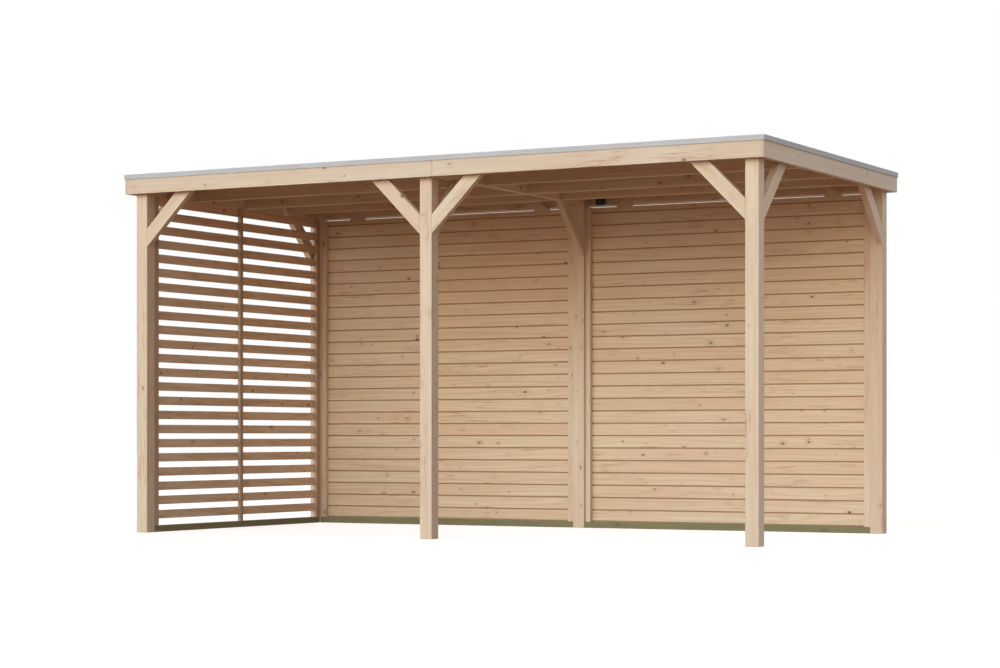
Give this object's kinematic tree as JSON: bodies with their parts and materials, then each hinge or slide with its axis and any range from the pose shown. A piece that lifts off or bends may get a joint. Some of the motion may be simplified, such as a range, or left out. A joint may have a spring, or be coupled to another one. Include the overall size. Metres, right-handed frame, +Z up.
{
  "type": "open timber barbecue shelter",
  "caption": "Flat-roofed timber garden shelter on square posts with knee braces, a shiplap back wall and a slatted left side; front and right side open.",
  "frame": {"origin": "on the ground, midway between the outer faces of the corner posts both ways", "axes": "+X along the front towards the open right side, +Y from the open front to the clad back, +Z up"},
  "size_m": [4.783, 2.433, 2.489],
  "materials": {
    "post_spruce": "planed, untreated, small knots",
    "brace_spruce": "planed, untreated, small knots",
    "fascia_spruce": "planed, untreated, small knots",
    "slat_spruce": "planed, untreated, small knots",
    "roof_spruce": "planed, untreated, small knots",
    "shiplap_spruce": "planed, untreated, small knots",
    "deck_board": "planed boards, untreated",
    "green_treated_pine": "pressure treated, matt",
    "grey_aluminium": "mill finish, satin",
    "black_rubber_sheet": "matt",
    "black_plastic": "matt"
  },
  "bodies": {
    "root": {"post_front_left": "post_spruce", "post_front_middle": "post_spruce", "post_front_right": "post_spruce", "post_back_left": "post_spruce", "post_back_middle": "post_spruce", "post_back_right": "post_spruce", "braces_front": "brace_spruce", "braces_back": "brace_spruce", "braces_left": "brace_spruce", "braces_right": "brace_spruce", "braces_middle": "brace_spruce", "rim_front": "roof_spruce", "rim_back": "roof_spruce", "rim_left": "roof_spruce", "rim_right": "roof_spruce", "middle_beam": "roof_spruce", "joists_left": "roof_spruce", "joists_right": "roof_spruce", "fascia_front_left": "fascia_spruce", "fascia_front_right": "fascia_spruce", "fascia_back_left": "fascia_spruce", "fascia_back_right": "fascia_spruce", "fascia_left": "fascia_spruce", "fascia_right": "fascia_spruce", "roof_deck": "deck_board", "roof_sheet": "black_rubber_sheet", "trim_front": "grey_aluminium", "trim_back": "grey_aluminium", "trim_left": "grey_aluminium", "trim_right": "grey_aluminium", "sill_back_left": "green_treated_pine", "sill_back_right": "green_treated_pine", "sill_left": "green_treated_pine", "wall_batten_1": "post_spruce", "wall_batten_2": "post_spruce", "wall_batten_3": "post_spruce", "wall_batten_4": "post_spruce", "cladding_back_left": "shiplap_spruce", "cladding_back_right": "shiplap_spruce", "slat_screen": "slat_spruce", "screen_batten_front": "slat_spruce", "screen_batten_middle": "slat_spruce", "screen_batten_back": "slat_spruce", "roof_outlet": "black_plastic"}
  },
  "joints": []
}
